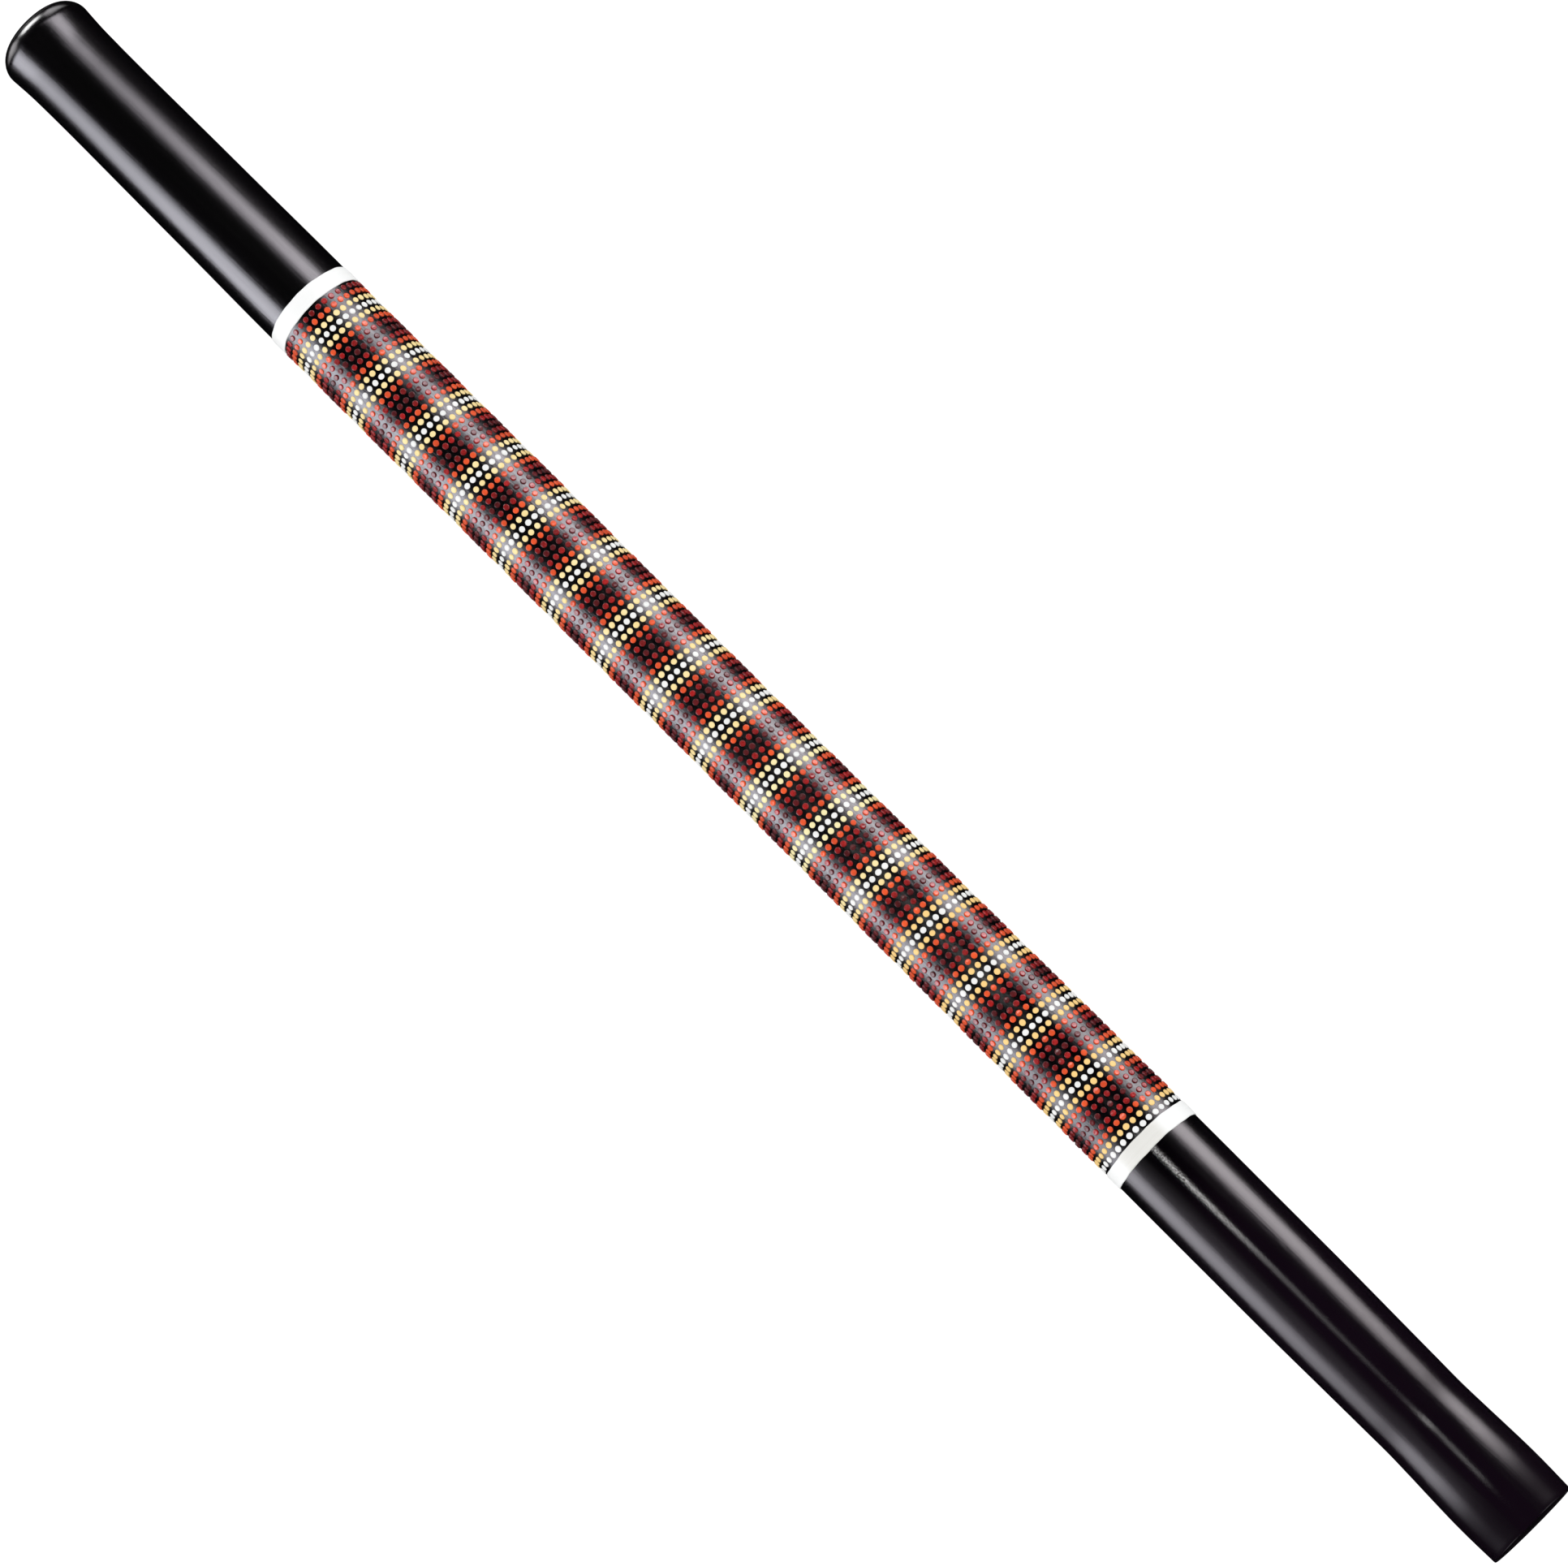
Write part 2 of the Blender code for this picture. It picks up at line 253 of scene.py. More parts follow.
class Material:
    """A small helper over one material's node tree."""

    def __init__(self, name):
        self.data = bpy.data.materials.new(name)
        self.data.use_nodes = True
        self.tree = self.data.node_tree
        self.shader = self.tree.nodes["Principled BSDF"]
        self.coord = self.node("ShaderNodeTexCoord").outputs["Object"]

    def node(self, kind, **settings):
        return add_node(self.tree, kind, **settings)

    def put(self, socket, value):
        """Links a socket or sets a value. A socket's name means one of the main shader's."""
        if isinstance(socket, str):
            socket = self.shader.inputs[socket]
        if isinstance(value, bpy.types.NodeSocket):
            self.tree.links.new(value, socket)
        elif isinstance(value, tuple) and len(value) == 3 and socket.type == "RGBA":
            socket.default_value = (*value, 1.0)
        else:
            socket.default_value = value

    def math(self, operation, first, second=0.0):
        node = self.node("ShaderNodeMath", operation=operation)
        self.put(node.inputs[0], first)
        self.put(node.inputs[1], second)
        return node.outputs[0]

    def add(self, first, second):
        return self.math("ADD", first, second)

    def subtract(self, first, second):
        return self.math("SUBTRACT", first, second)

    def multiply(self, first, second):
        return self.math("MULTIPLY", first, second)

    def xyz(self):
        node = self.node("ShaderNodeSeparateXYZ")
        self.put(node.inputs[0], self.coord)
        return node.outputs

    def from_foot(self, x):
        """The distance from the foot rim in mm."""
        return self.multiply(self.subtract(x, FOOT_X), 1 / MM)

    def radius(self, place):
        """The distance from the stick's axis in metres."""
        squares = self.add(self.multiply(place[1], place[1]), self.multiply(place[2], place[2]))
        return self.math("SQRT", squares)

    def scaled(self, factors, vector=None):
        node = self.node("ShaderNodeVectorMath", operation="MULTIPLY")
        self.put(node.inputs[0], vector or self.coord)
        node.inputs[1].default_value = factors
        return node.outputs[0]

    def noise(self, vector, scale=1.0, detail=3.0, rough=0.6, distortion=0.0):
        node = self.node("ShaderNodeTexNoise")
        self.put(node.inputs["Vector"], vector)
        node.inputs["Scale"].default_value = scale
        node.inputs["Detail"].default_value = detail
        node.inputs["Roughness"].default_value = rough
        node.inputs["Distortion"].default_value = distortion
        return node.outputs["Fac"]

    def ramp(self, value, start, end, low=0.0, high=1.0, smooth=False):
        """Goes from low at start to high at end."""
        node = self.node("ShaderNodeMapRange")
        if smooth:
            node.interpolation_type = "SMOOTHSTEP"
        for i, number in enumerate((value, start, end, low, high)):
            self.put(node.inputs[i], number)
        return node.outputs[0]

    def rise(self, value, start, end, high=1.0):
        return self.ramp(value, start, end, 0.0, high, smooth=True)

    def fall(self, value, start, end, high=1.0, low=0.0):
        return self.ramp(value, start, end, high, low, smooth=True)

    def blend(self, data_type, sockets, factor, off, on):
        node = self.node("ShaderNodeMix", data_type=data_type)
        for i, value in zip(sockets, (factor, off, on)):
            self.put(node.inputs[i], value)
        return node

    def mix(self, factor, off, on):
        """A colour between off (at 0) and on (at 1)."""
        return self.blend("RGBA", (0, 6, 7), factor, off, on).outputs[2]

    def mix_value(self, factor, off, on):
        return self.blend("FLOAT", (0, 2, 3), factor, off, on).outputs[0]

    def bump(self, height, strength, distance, after=None):
        node = self.node("ShaderNodeBump")
        self.put(node.inputs["Height"], height)
        self.put(node.inputs["Strength"], strength)
        node.inputs["Distance"].default_value = distance
        if after is not None:
            self.put(node.inputs["Normal"], after)
        return node.outputs["Normal"]


# ------------------------------------------------------------------ materials
def lacquer():
    """Black lacquer over lengthwise fibres, with zones of gloss along the stick."""
    mat = Material("black_lacquer_fine")
    x = mat.xyz()[0]
    along = mat.from_foot(x)
    painted = mat.multiply(
        mat.rise(along, start=LOWER[1] - 2, end=LOWER[1] + 4),
        mat.fall(along, start=UPPER[0] - 4, end=UPPER[0] + 2),
    )
    foot = mat.fall(along, start=60, end=LOWER[0])
    below = mat.fall(along, start=LOWER[0] - 1, end=LOWER[0] + 1)
    foot_lightening = mat.fall(along, start=165, end=255, low=0.1)
    rim = mat.fall(along, start=20, end=75)

    # the fibres wind very slightly round the tube, by this many radians per metre
    winding = 1.1
    wind = mat.node("ShaderNodeVectorRotate", rotation_type="X_AXIS")
    mat.put(wind.inputs["Vector"], mat.coord)
    mat.put(wind.inputs["Angle"], mat.multiply(x, winding))

    def fibres(lengthwise, across, detail, rough):
        vector = mat.scaled((lengthwise, across, across), wind.outputs[0])
        return mat.noise(vector, detail=detail, rough=rough)

    broad = fibres(lengthwise=6, across=420, detail=2.0, rough=0.5)
    fine = fibres(lengthwise=34, across=1450, detail=3.0, rough=0.6)
    hair = fibres(lengthwise=70, across=3600, detail=2.0, rough=0.6)
    grain = mat.noise(mat.coord, scale=1900, detail=2.0, rough=0.65)
    cloud = mat.noise(mat.coord, scale=24, rough=0.5)
    fine_share, hair_share = 0.6, 0.4
    fibre = mat.add(mat.multiply(fine, fine_share), mat.multiply(hair, hair_share))
    lines = mat.ramp(fibre, start=0.40, end=0.62)

    # near black, lighter towards the foot, and with faint lines where it is painted
    line_tint = 0.3
    base = mat.mix(cloud, off=(0.0003, 0.0002, 0.0004), on=(0.0010, 0.0006, 0.0012))
    foot_black = mat.mix(cloud, off=(0.0034, 0.0015, 0.0037), on=(0.0060, 0.0029, 0.0063))
    base = mat.mix(foot_lightening, base, foot_black)
    tint = mat.multiply(mat.multiply(lines, painted), line_tint)
    mat.put("Base Color", mat.mix(tint, base, on=(0.004, 0.003, 0.004)))

    # roughness of the plain ends, and how much each zone and the broad fibres change it
    plain_rough, foot_gloss, rim_dulling, broad_change = 0.19, 0.06, 0.07, 0.10
    plain = mat.subtract(plain_rough, mat.multiply(foot, foot_gloss))
    plain = mat.add(plain, mat.multiply(rim, rim_dulling))
    plain = mat.add(plain, mat.multiply(mat.subtract(broad, 0.5), broad_change))
    painted_rough, line_rough = 0.12, 0.15
    rough = mat.mix_value(painted, plain, mat.add(painted_rough, mat.multiply(lines, line_rough)))

    # the bore is bare, dark and dull
    place = mat.xyz()
    bore = mat.fall(mat.radius(place), start=0.0214, end=0.0222)

    # the lacquer is dull along the top: just past the lower band, and more and more to the foot
    side = mat.math("ABSOLUTE", mat.math("ARCTAN2", place[1], place[2]))
    behind = mat.multiply(painted, mat.fall(along, start=LOWER[1] + 60, end=LOWER[1] + 115))
    worn = mat.multiply(below, mat.fall(along, start=150, end=236, high=0.92))
    bright = mat.multiply(
        mat.rise(along, start=58, end=66, high=0.45), mat.fall(along, start=74, end=84)
    )
    dull = mat.multiply(
        mat.fall(side, start=0.22, end=0.42), mat.add(behind, mat.subtract(worn, bright))
    )
    # and below the lower band its middle is pitted with fine specks
    crown = mat.multiply(below, mat.fall(side, start=0.16, end=0.30))
    pits = mat.noise(mat.coord, scale=2100, detail=2.0, rough=0.7)
    specks = mat.rise(pits, start=0.44, end=0.60, high=0.9)
    dull = mat.math("MAXIMUM", dull, mat.multiply(crown, specks))
    thin = mat.fall(along, start=12, end=50, high=0.75, low=0.05)
    thin = mat.multiply(thin, below)
    weak = mat.math("MAXIMUM", bore, mat.math("MAXIMUM", dull, thin))
    mat.put("IOR", mat.mix_value(weak, off=1.85, on=1.20))
    mat.put("Roughness", mat.mix_value(bore, mat.mix_value(crown, rough, on=0.09), on=0.62))

    # bump strengths, and how much the crown changes them
    fibre_plain, crown_flattening, grain_strength, crown_grain = 0.22, 0.19, 0.04, 0.42
    first = mat.bump(broad, mat.mix_value(painted, off=0.04, on=0.10), distance=0.0006)
    relief = mat.subtract(fibre_plain, mat.multiply(crown, crown_flattening))
    relief = mat.mix_value(painted, relief, on=0.50)
    second = mat.bump(fibre, relief, distance=0.00028, after=first)
    pitting = mat.add(grain_strength, mat.multiply(crown, crown_grain))
    mat.put("Normal", mat.bump(grain, pitting, distance=0.00005, after=second))
    return mat.data


def white_band(name, top_shade):
    """A tight white wrap with faint lines round the tube and grey rubs. Its last argument sets
    painted shade, which greys its top.
    """
    mat = Material(name)
    place = mat.xyz()
    side = mat.math("ARCTAN2", place[1], place[2])
    # painted shade: the band's top, picked by its angle round the stick, is mixed towards grey
    top = mat.multiply(
        mat.rise(side, start=-0.50, end=-0.25), mat.fall(side, start=0.55, end=0.80)
    )
    wraps = mat.noise(mat.scaled((900, 6, 6)))
    rub = mat.noise(mat.scaled((300, 24, 24)), detail=4.0)
    dirt = mat.ramp(rub, start=0.56, end=0.74)
    dirt_share = 0.25
    white = mat.mix(
        mat.multiply(dirt, dirt_share), off=(0.90, 0.91, 0.905), on=(0.70, 0.70, 0.69)
    )
    # the grey of the painted shade on the top, with faint lines round the tube
    worn = mat.mix(wraps, off=(0.64, 0.63, 0.58), on=(0.80, 0.795, 0.76))
    mat.put("Base Color", mat.mix(mat.multiply(top, top_shade), white, worn))
    mat.put("Roughness", mat.ramp(wraps, start=0.3, end=0.7, low=0.35, high=0.55))
    mat.put("Normal", mat.bump(wraps, strength=0.25, distance=0.0002))
    return mat.data


def paint(name, low, high, rough, coat, edge):
    """Thick dot paint: tones from low to high, a brushed skin and painted shade, a darker tone on
    the edges that turn away from the view.
    """
    mat = Material(name)
    tone = mat.noise(mat.coord, scale=130, detail=1.0, rough=0.5)
    skin = mat.noise(mat.coord, scale=2600, detail=2.0)
    layer = mat.node("ShaderNodeLayerWeight")
    layer.inputs["Blend"].default_value = 0.25
    colour = mat.mix(mat.ramp(tone, start=0.34, end=0.66), low, high)
    if name == "paint_cream":
        # yellower towards the foot, then a paler stretch
        along = mat.from_foot(mat.xyz()[0])
        yellow = mat.fall(along, start=395, end=420)
        colour = mat.mix(yellow, colour, on=(0.93, 0.63, 0.23))
        pale = mat.multiply(
            mat.rise(along, start=415, end=440), mat.fall(along, start=480, end=505)
        )
        pale_share = 0.7
        colour = mat.mix(mat.multiply(pale, pale_share), colour, on=(0.88, 0.84, 0.48))
    # painted shade: where a dot turns away from the view, its colour goes towards the darker edge
    # tone
    edge_shade_share = 0.6
    edges = mat.multiply(layer.outputs["Facing"], edge_shade_share)
    mat.put("Base Color", mat.mix(edges, colour, edge))
    mat.put("IOR", 1.34)
    mat.put("Roughness", mat.ramp(skin, start=0.3, end=0.7, low=rough - 0.05, high=rough + 0.10))
    mat.put("Coat Weight", coat)
    mat.put("Coat Roughness", 0.05)
    mat.put("Coat IOR", 1.62)
    mat.put("Normal", mat.bump(skin, strength=0.10, distance=0.00004))
    return mat.data


def plug_black():
    """Lathe-turned black: fine rings round the centre."""
    mat = Material("plug_black_fine")
    # ring radians per metre of radius, the rings' share of the relief, and the roughness
    ring_rate, ring_share, rough, rough_change = 9000.0, 0.3, 0.30, 0.16
    rings = mat.math("SINE", mat.multiply(mat.radius(mat.xyz()), ring_rate))
    cloud = mat.noise(mat.coord, scale=160, detail=4.0)
    mat.put("Base Color", mat.mix(cloud, off=(0.006, 0.005, 0.007), on=(0.016, 0.013, 0.016)))
    mat.put("Roughness", mat.add(rough, mat.multiply(cloud, rough_change)))
    relief = mat.add(mat.multiply(rings, ring_share), cloud)
    mat.put("Normal", mat.bump(relief, strength=0.16, distance=0.00012))
    mat.put("Coat Weight", 0.2)
    return mat.data


def felt():
    mat = Material("felt_grey_fine")
    wool = mat.noise(mat.coord, scale=1600, detail=6.0, rough=0.75, distortion=1.5)
    mat.put("Base Color", mat.mix(wool, off=(0.07, 0.066, 0.066), on=(0.30, 0.29, 0.28)))
    mat.put("Roughness", mat.ramp(wool, start=0, end=1, low=0.85, high=1.0))
    mat.put("Normal", mat.bump(wool, strength=0.8, distance=0.0005))
    mat.put("Sheen Weight", 0.4)
    return mat.data


def bamboo():
    mat = Material("pin_bamboo_fine")
    grain = mat.noise(mat.scaled((3000, 90, 90)), detail=4.0)
    knots = mat.noise(mat.coord, scale=220, rough=0.5)
    colour = mat.mix(grain, off=(0.30, 0.18, 0.08), on=(0.62, 0.45, 0.24))
    knots = mat.ramp(knots, start=0.5, end=0.75, high=0.5)
    mat.put("Base Color", mat.mix(knots, colour, on=(0.20, 0.11, 0.05)))
    mat.put("Roughness", mat.ramp(grain, start=0, end=1, low=0.5, high=0.75))
    mat.put("Normal", mat.bump(grain, strength=0.4, distance=0.0002))
    return mat.data


def seed_brown():
    mat = Material("seed_brown_fine")
    mottle = mat.noise(mat.coord, scale=480, detail=4.0, rough=0.65, distortion=0.8)
    fine = mat.noise(mat.coord, scale=2400)
    spots = mat.ramp(mottle, start=0.35, end=0.65)
    mat.put("Base Color", mat.mix(spots, off=(0.12, 0.055, 0.025), on=(0.46, 0.27, 0.13)))
    mat.put("Roughness", mat.ramp(fine, start=0.2, end=0.8, low=0.35, high=0.65))
    mat.put("Normal", mat.bump(mat.add(mottle, fine), strength=0.35, distance=0.0003))
    return mat.data


# colour: (low tone, high tone, roughness, coat weight, darker edge tone for the painted shade)
PAINT_TONES = {
    "white": ((0.80, 0.81, 0.80), (0.88, 0.88, 0.87), 0.42, 0.05, (0.76, 0.76, 0.76)),
    "cream": ((0.90, 0.70, 0.30), (0.96, 0.79, 0.40), 0.42, 0.08, (0.70, 0.50, 0.20)),
    "orange": ((0.66, 0.060, 0.010), (0.88, 0.094, 0.013), 0.30, 0.75, (0.46, 0.04, 0.010)),
    "red": ((0.18, 0.0030, 0.0035), (0.40, 0.004, 0.004), 0.26, 0.8, (0.14, 0.004, 0.006)),
    "maroon": ((0.075, 0.0030, 0.005), (0.140, 0.0045, 0.007), 0.28, 0.55, (0.04, 0.002, 0.004)),
}
LACQUER = lacquer()
BAND_WHITES = [white_band("band_white_head", top_shade=0.0), white_band("band_white_foot", top_shade=0.8)]
PLUG_BLACK, FELT, BAMBOO, SEED_BROWN = plug_black(), felt(), bamboo(), seed_brown()
PAINTS = {colour: paint("paint_" + colour, *tones) for colour, tones in PAINT_TONES.items()}


# ------------------------------------------------------------------ tube, bands and plugs
def install(obj, piece):
    """Puts a mesh in a CAD piece's place."""
    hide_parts(piece)
    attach(obj, root)


def tube_profile():
    """The tube's closed section, from the foot lip over the rounded head and back inside."""
    xs = np.concatenate(
        [np.linspace(0.9, 90, 60), np.arange(92, 980, 4.0), np.linspace(980, SHOULDER_X, 18)]
    )
    profile = FOOT_LIP + [(float(x), float(r)) for x, r in zip(xs, spline(OUTER, xs))]
    shoulder_r = profile[-1][1]
    outer_steps, inner_steps = 24, 6
    for k in range(1, outer_steps + 1):
        turn = math.pi / 2 * k / outer_steps
        swell = SHOULDER_SLOPE * HEAD_DEPTH * math.sin(turn) * (1 - math.sin(turn)) ** 2
        radius = shoulder_r + swell - HEAD_ROUND * (1 - math.cos(turn))
        profile.append((SHOULDER_X + HEAD_DEPTH * math.sin(turn), radius))
    profile += [
        (LENGTH, MOUTH_R + 0.5), (LENGTH - 0.15, MOUTH_R + 0.12),
        (LENGTH - 0.5, MOUTH_R), (LENGTH - WALL, MOUTH_R),
    ]
    for k in range(inner_steps, 0, -1):
        turn = math.pi / 2 * k / inner_steps
        radius = INNER_SHOULDER_R - (HEAD_ROUND - WALL) * (1 - math.cos(turn))
        profile.append((SHOULDER_X + (HEAD_DEPTH - WALL) * math.sin(turn), radius))
    return profile + BORE


def wrapped_band(name, span, number, material):
    """A band wrapped round the tube, with wavy edges."""
    middle, width = (span[0] + span[1]) / 2, span[1] - span[0]
    tube_r = outer_r(middle)
    build = bmesh.new()
    rings = []
    for i, (share, height) in enumerate(BAND_SECTION):
        ring = []
        for k in range(BAND_SEGMENTS):
            angle = 2 * math.pi * k / BAND_SEGMENTS
            wave = sum(
                size * math.sin(count * angle + phase * number + head_phase * (share > 0))
                for size, count, phase, head_phase in EDGE_WAVES
            )
            fold = FOLD_HEIGHT * math.sin(FOLDS * angle + i) if height > FOLDED_ABOVE else 0.0
            x = middle + share * width + wave * abs(share) * 2
            radius = tube_r + height + fold + sway(middle, angle)
            ring.append(build.verts.new(on_stick(x, radius, angle)))
        rings.append(ring)
    bridge(build, rings, closed=True)
    band = smooth_object(name + "_wrap", build, material, sharp_deg=60)
    install(band, name)


def plug(piece, profile):
    obj = revolve(
        piece + "_turned", profile, PLUG_BLACK, closed=False, segments=PLUG_SEGMENTS, sharp_deg=30
    )
    install(obj, piece)


tube = revolve(
    "tube_skin", tube_profile(), LACQUER, closed=True, segments=TUBE_SEGMENTS, sharp_deg=38,
    shift=sway,
)
install(tube, "tube_body")
wrapped_band("upper_white_band", UPPER, 1, BAND_WHITES[0])
wrapped_band("lower_white_band", LOWER, 2, BAND_WHITES[1])
plug("head_plug", [(LENGTH + x, radius) for x, radius in HEAD_PLUG])
plug("foot_plug", FOOT_PLUG)


# ------------------------------------------------------------------ CAD pieces kept as they are
def inner_material(name):
    if name.startswith("staircase_pin"):
        return BAMBOO
    if name.startswith("seed_"):
        return SEED_BROWN
    return FELT if name.endswith("_felt") else None


for name, obj in frame["nodes"].items():
    material = inner_material(name)
    if material == SEED_BROWN:
        rounding = obj.modifiers.new("round", "SUBSURF")
        rounding.levels = rounding.render_levels = 1
        obj.data.shade_smooth()
    if material:
        obj.data.materials.clear()
        obj.data.materials.append(material)

# ------------------------------------------------------------------ the painted dots
# every other ring is shifted by half a dot
ORDER = ("white", "cream", "orange", "red", "maroon", "red", "orange", "cream")
DOT_R, DOTS_AROUND, PITCH, BAND_GAP = 1.55, 36, 4.2, 2.6
LAYOUT_R = 24.15  # the radius at which the dots are laid out
JITTER, SIZE_SPREAD, HEIGHT_SPREAD, OVAL_SPREAD = 0.15, 0.06, 0.12, 0.05
THIN_PAINT, THICK_PAINT = 0.26, 0.36  # a dot's height as a share of its radius
DOT_SEGMENTS, DOT_SUNK = 12, -0.14
# a rounded rim and a slightly sunk middle: (share of the radius, share of the height)
DOT_SECTION = [(0.985, 0.14), (0.91, 0.66), (0.79, 0.97), (0.62, 1.0), (0.34, 0.90)]
DOT_MIDDLE = 0.86
rng = random.Random(20)


def spread(size):
    return rng.uniform(-size, size)


def lay_out_dots():
    """All dots as (x, distance round the tube, radius, colour)."""
    first, last = LOWER[1] + BAND_GAP, UPPER[0] - BAND_GAP
    gaps = round((last - first) / PITCH)
    dots = []
    for ring in range(gaps + 1):
        for k in range(DOTS_AROUND):
            x = first + (last - first) * ring / gaps + spread(JITTER)
            around = 2 * math.pi * LAYOUT_R * (k + ring % 2 / 2) / DOTS_AROUND + spread(JITTER)
            radius = DOT_R * (1 + spread(SIZE_SPREAD))
            dots.append((x, around, radius, ORDER[ring % len(ORDER)]))
    return dots


def dome(verts, faces, x, around, radius, thickness):
    """One raised dot: a closed, slightly flattened dome that follows the tube's surface."""
    centre = around / LAYOUT_R
    tilt = rng.uniform(0, 6.28)
    tall = thickness * radius * (1 + spread(HEIGHT_SPREAD))
    oval = 1 + spread(OVAL_SPREAD)
    base = len(verts)
    surface = outer_r(x)
    swayed = surface + sway(x, centre)

    def add_point(forward, sideways, height):
        verts.append(on_stick(x + forward, swayed + height, centre + sideways / surface))

    rings = [(1.0, DOT_SUNK)] + [(share, height * tall) for share, height in DOT_SECTION]
    for share, height in rings:
        for k in range(DOT_SEGMENTS):
            turn = tilt + 2 * math.pi * k / DOT_SEGMENTS
            reach = radius * share
            add_point(reach * math.cos(turn) * oval, reach * math.sin(turn) / oval, height)
    add_point(0.0, 0.0, DOT_MIDDLE * tall)
    add_point(0.0, 0.0, DOT_SUNK)
    top, bottom = len(verts) - 2, len(verts) - 1
    for i in range(len(rings) - 1):
        low = base + i * DOT_SEGMENTS
        high = low + DOT_SEGMENTS
        for k in range(DOT_SEGMENTS):
            k2 = (k + 1) % DOT_SEGMENTS
            faces.append((low + k, high + k, high + k2, low + k2))
    last = base + (len(rings) - 1) * DOT_SEGMENTS
    for k in range(DOT_SEGMENTS):
        k2 = (k + 1) % DOT_SEGMENTS
        faces.append((last + k, top, last + k2))
        faces.append((base + k2, bottom, base + k))


def dots_object(colour, material, dots):
    """All dots of one colour as one mesh."""
    verts, faces = [], []
    thickness = THIN_PAINT if colour in ("white", "cream") else THICK_PAINT
    for x, around, radius, tone in dots:
        if tone == colour:
            dome(verts, faces, x, around, radius, thickness)
    mesh = bpy.data.meshes.new("dots_" + colour)
    mesh.from_pydata(verts, [], faces)
    mesh.update()
    mesh.materials.append(material)
    mesh.shade_smooth()
    obj = bpy.data.objects.new("dots_" + colour, mesh)
    scene.collection.objects.link(obj)
    build = bmesh.new()
    build.from_mesh(mesh)
    bmesh.ops.recalc_face_normals(build, faces=build.faces)
    build.to_mesh(mesh)
    build.free()
    mesh.set_sharp_from_angle(angle=math.radians(80))
    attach(obj, root)


dots = lay_out_dots()
for colour, material in PAINTS.items():
    dots_object(colour, material, dots)

# ------------------------------------------------------------------ stage and world
scene.view_settings.view_transform = "Standard"


def stage_floor(half=9.0):
    """A pale glowing floor, hidden from reflections."""
    mesh = bpy.data.meshes.new("floor")
    corners = [(x * half, y * half, FLOOR_Z) for x, y in ((-1, -1), (1, -1), (1, 1), (-1, 1))]
    mesh.from_pydata(corners, [], [(0, 1, 2, 3)])
    obj = bpy.data.objects.new("floor", mesh)
    scene.collection.objects.link(obj)
    material = bpy.data.materials.new("pale_floor")
    tree = empty_tree(material)
    out = add_node(tree, "ShaderNodeOutputMaterial")
    path = add_node(tree, "ShaderNodeLightPath")
    # inputs: colour, and the glow's strength
    diffuse = add_node(tree, "ShaderNodeBsdfDiffuse", (0.30, 0.30, 0.30, 1))
    glow = add_node(tree, "ShaderNodeEmission", (1, 1, 1, 1), 0.85)
    both = add_node(tree, "ShaderNodeAddShader")
    dark = add_node(tree, "ShaderNodeBsdfDiffuse", (0.02, 0.02, 0.02, 1))
    pick = add_node(tree, "ShaderNodeMixShader")
    wire(
        tree,
        (diffuse.outputs[0], both.inputs[0]),
        (glow.outputs[0], both.inputs[1]),
        (path.outputs["Is Glossy Ray"], pick.inputs[0]),
        (both.outputs[0], pick.inputs[1]),
        (dark.outputs[0], pick.inputs[2]),
        (pick.outputs[0], out.inputs[0]),
    )
    mesh.materials.append(material)
    obj.visible_glossy = False


def studio_world():
    """A white room that is almost black in reflections."""
    world = bpy.data.worlds.new("studio")
    scene.world = world
    tree = empty_tree(world)
    out = add_node(tree, "ShaderNodeOutputWorld")
    path = add_node(tree, "ShaderNodeLightPath")
    # inputs: colour and strength
    room = add_node(tree, "ShaderNodeBackground", (1, 1, 1, 1), 1.10)
    seen = add_node(tree, "ShaderNodeBackground", (1, 1, 1, 1), 1.1)
    dim = add_node(tree, "ShaderNodeBackground", (0.80, 0.85, 1.0, 1), 0.004)
    glossy = add_node(tree, "ShaderNodeMixShader")
    camera = add_node(tree, "ShaderNodeMixShader")
    wire(
        tree,
        (path.outputs["Is Glossy Ray"], glossy.inputs[0]),
        (room.outputs[0], glossy.inputs[1]),
        (dim.outputs[0], glossy.inputs[2]),
        (path.outputs["Is Camera Ray"], camera.inputs[0]),
        (glossy.outputs[0], camera.inputs[1]),
        (seen.outputs[0], camera.inputs[2]),
        (camera.outputs[0], out.inputs[0]),
    )


stage_floor()
studio_world()


# ------------------------------------------------------------------ light panels
def float_curve(tree, points):
    """A curve node through (place, value) points, from place 0 to place 1."""
    node = add_node(tree, "ShaderNodeFloatCurve")
    curve = node.mapping.curves[0]
    curve.points[0].location, curve.points[1].location = (0, points[0][1]), (1, points[-1][1])
    for x, y in points[1:-1]:
        curve.points.new(x, y)
    node.mapping.update()
    return node


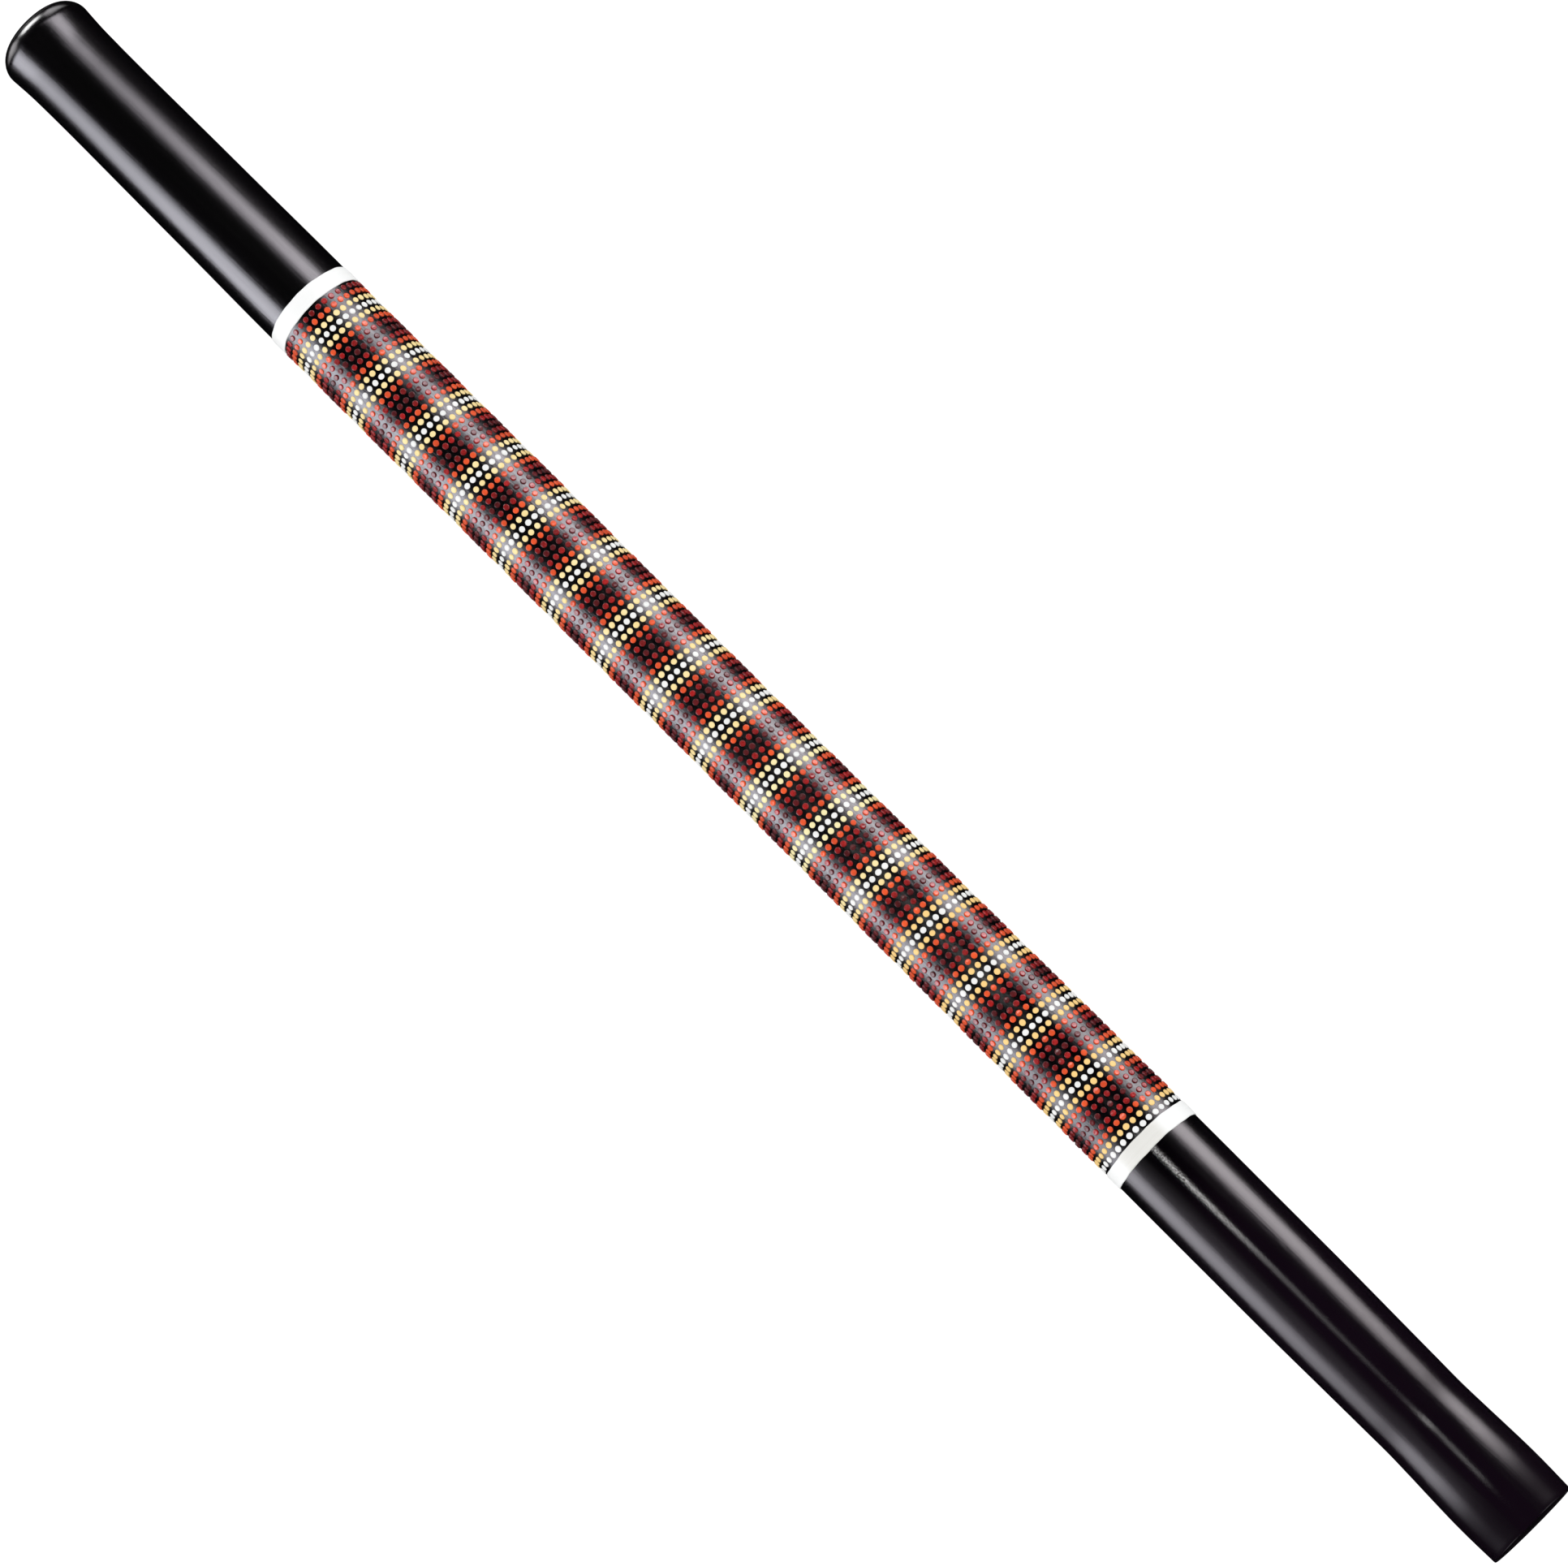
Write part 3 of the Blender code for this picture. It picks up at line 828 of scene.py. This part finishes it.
def glow_material(name, radiance, colours, soft, levels):
    material = bpy.data.materials.new(name)
    tree = empty_tree(material)
    out = add_node(tree, "ShaderNodeOutputMaterial")
    lamp = add_node(tree, "ShaderNodeEmission")
    place = add_node(tree, "ShaderNodeUVMap")
    split = add_node(tree, "ShaderNodeSeparateXYZ")
    across = float_curve(tree, [(0, 0), (soft[0], 1.0), (1 - soft[1], 1.0), (1, 0)])
    along = float_curve(tree, levels)
    both = add_node(tree, "ShaderNodeMath", operation="MULTIPLY")
    full = add_node(tree, "ShaderNodeMath", operation="MULTIPLY")
    full.inputs[1].default_value = radiance
    tint = add_node(tree, "ShaderNodeMix", data_type="RGBA")
    for i, colour in zip((6, 7), colours):
        tint.inputs[i].default_value = (*colour, 1)
    # it lets the panels behind it through, so that overlapping panels add up
    clear = add_node(tree, "ShaderNodeBsdfTransparent")
    total = add_node(tree, "ShaderNodeAddShader")
    wire(
        tree,
        (place.outputs[0], split.inputs[0]),
        (split.outputs[1], across.inputs["Value"]),
        (split.outputs[0], along.inputs["Value"]),
        (across.outputs[0], both.inputs[0]),
        (along.outputs[0], both.inputs[1]),
        (both.outputs[0], full.inputs[0]),
        (full.outputs[0], lamp.inputs[1]),
        (split.outputs[0], tint.inputs[0]),
        (tint.outputs[2], lamp.inputs[0]),
        (lamp.outputs[0], total.inputs[0]),
        (clear.outputs[0], total.inputs[1]),
        (total.outputs[0], out.inputs[0]),
    )
    return material


def glow_card(name, surface, radiance, colours, soft, levels):
    """A soft-edged light panel that only shows in reflections. surface(along, across) gives its
    points. colours: at its start and end. soft: the share of its width over which each long edge
    fades. levels: (place along the panel, share of the full radiance)."""
    steps_along, steps_across = 60, 8
    row = steps_across + 1
    shares = [(i / steps_along, j / steps_across) for i in range(steps_along + 1)
              for j in range(row)]
    corners = [i * row + j for i in range(steps_along) for j in range(steps_across)]
    faces = [(k, k + 1, k + row + 1, k + row) for k in corners]
    mesh = bpy.data.meshes.new(name)
    mesh.from_pydata([surface(along, across) for along, across in shares], [], faces)
    layer = mesh.uv_layers.new(name="across")
    for loop in mesh.loops:
        layer.data[loop.index].uv = shares[loop.vertex_index]
    obj = bpy.data.objects.new(name, mesh)
    scene.collection.objects.link(obj)
    mesh.materials.append(glow_material(name, radiance, colours, soft, levels))
    obj.visible_camera = False
    obj.visible_diffuse = False
    obj.visible_shadow = False


def place(x, degrees, distance):
    """A point x m from the foot rim, at an angle and distance round the stick's axis."""
    angle = math.radians(degrees)
    return (FOOT_X + x, distance * math.sin(angle), distance * math.cos(angle))


def between(start, end, share):
    return Vector(start) * (1 - share) + Vector(end) * share


def curved(stations, distance=2.2):
    """A long curved panel from its stations: (share of its length, inner angle, outer angle)."""
    start_x, length = -1.2, 4.2
    table = np.array(stations)

    def surface(along, across):
        x = start_x + length * along
        inner, outer = (float(np.interp(along, table[:, 0], table[:, k])) for k in (1, 2))
        return between(place(x, inner, distance), place(x, outer, distance), across)

    return surface


def flat(start_edge, end_edge):
    """A panel between two edges, each a pair of points."""
    return lambda along, across: between(
        between(*start_edge, across), between(*end_edge, across), along
    )


# "right" is the -Y side and "left" the +Y side
glow_card(
    "softbox_right",
    curved([
        (0.0, -48, -86), (0.34, -50, -88), (0.365, -54, -94), (0.42, -55, -95), (0.50, -49, -92),
        (0.62, -37, -77), (0.68, -31, -68), (0.73, -22, -53), (1.0, -5, -35),
    ]),
    radiance=6.7, colours=((1.0, 0.915, 0.91), (0.97, 0.935, 1.05)), soft=(0.42, 0.44),
    levels=[
        (0.0, 0.02), (0.26, 0.015), (0.29, 0.02), (0.34, 0.40), (0.36, 0.54), (0.41, 0.67),
        (0.46, 0.80), (0.52, 0.92), (0.57, 1.0), (0.63, 0.77), (0.674, 0.62), (0.69, 0.50),
        (0.705, 0.39), (0.72, 0.20), (0.74, 0.11), (0.80, 0.03), (1.0, 0.0),
    ],
)
glow_card(
    "softbox_left",
    curved([
        (0.0, 82, 122), (0.33, 69, 111), (0.41, 67, 109), (0.50, 60, 104), (0.70, 53, 101),
        (1.0, 40, 90),
    ]),
    radiance=5.4, colours=((1.0, 0.955, 1.03), (0.95, 0.96, 1.07)), soft=(0.36, 0.32),
    levels=[
        (0.0, 0.02), (0.26, 0.015), (0.29, 0.02), (0.345, 0.29), (0.37, 0.37), (0.41, 0.51),
        (0.46, 0.80), (0.56, 1.0), (0.65, 0.92), (0.674, 0.84), (0.70, 0.66), (0.715, 0.46),
        (0.74, 0.26), (0.82, 0.06), (1.0, 0.0),
    ],
)
glow_card(
    "softbox_left_bounce",
    curved([(0.0, 30, 92), (1.0, 30, 92)], distance=2.3),
    radiance=0.34, colours=((1.0, 0.93, 1.04), (1.0, 0.95, 1.04)), soft=(0.92, 0.04),
    levels=[
        (0.0, 0.0), (0.27, 0.2), (0.31, 0.9), (0.44, 1.0), (0.50, 0.5), (0.56, 0.0), (1.0, 0.0),
    ],
)
glow_card(
    "small_top",
    flat(
        ((FOOT_X + 0.28, 0.07, 2.9), (FOOT_X + 0.28, 0.52, 2.9)),
        ((FOOT_X + 0.66, -0.27, 2.9), (FOOT_X + 0.66, 0.27, 2.9)),
    ),
    radiance=7.6, colours=((1.0, 0.99, 0.98),) * 2, soft=(0.16, 0.16),
    levels=[(0.0, 0.35), (0.32, 0.6), (0.58, 1.0), (0.9, 1.0), (1.0, 0.0)],
)
# further panels beyond both ends light the stick for anyone who walks round it
for side, inner, outer in (("right", -52, -112), ("left", 66, 126)):
    for end, near_x, far_x in (("foot", -1.5, -5.5), ("head", 2.35, 6.0)):
        glow_card(
            "far_" + end + "_" + side,
            flat(
                (place(near_x, inner, 2.2), place(near_x, outer, 2.2)),
                (place(far_x, inner, 2.6), place(far_x, outer, 2.6)),
            ),
            radiance=2.4, colours=((1.0, 0.97, 1.0),) * 2, soft=(0.34, 0.34),
            levels=[(0.0, 0.0), (0.14, 0.8), (0.3, 1.0), (0.8, 0.9), (1.0, 0.0)],
        )
glow_card(
    "head_card",
    flat(*(((FOOT_X + 2.0, y, 0.02), (FOOT_X + 2.0, y, 0.45)) for y in (-0.33, 0.33))),
    radiance=9.0, colours=((1.0, 1.0, 1.0),) * 2, soft=(0.15, 0.15),
    levels=[(0.0, 0.0), (0.25, 1.0), (0.75, 1.0), (1.0, 0.0)],
)

# ------------------------------------------------------------------ camera
# It looks down on the stick from beyond the foot, rolled so that the head is upper left.
TILT, ROLL = math.radians(12.0), math.radians(44.95)
CAMERA_PLACE = (FOOT_X - 0.1259, 0.00195, 2.874)


def add_camera():
    data = bpy.data.cameras.new("camera")
    data.sensor_fit = "HORIZONTAL"
    data.sensor_width = 36.0
    data.lens = 144.63354037267
    data.clip_end = 100
    # a small shift of the view, so that the rounded head clears the top of the frame
    data.shift_x, data.shift_y = -0.00025879917184, 0.00098861283643
    camera = bpy.data.objects.new("camera", data)
    scene.collection.objects.link(camera)
    headward = Vector((math.cos(TILT), 0, math.sin(TILT)))
    sideward = Vector((0, -1, 0))
    right = -math.cos(ROLL) * headward + math.sin(ROLL) * sideward
    up = math.sin(ROLL) * headward + math.cos(ROLL) * sideward
    rows = list(zip(right, up, right.cross(up), CAMERA_PLACE))
    camera.matrix_world = Matrix(rows + [(0, 0, 0, 1)])
    scene.camera = camera


add_camera()
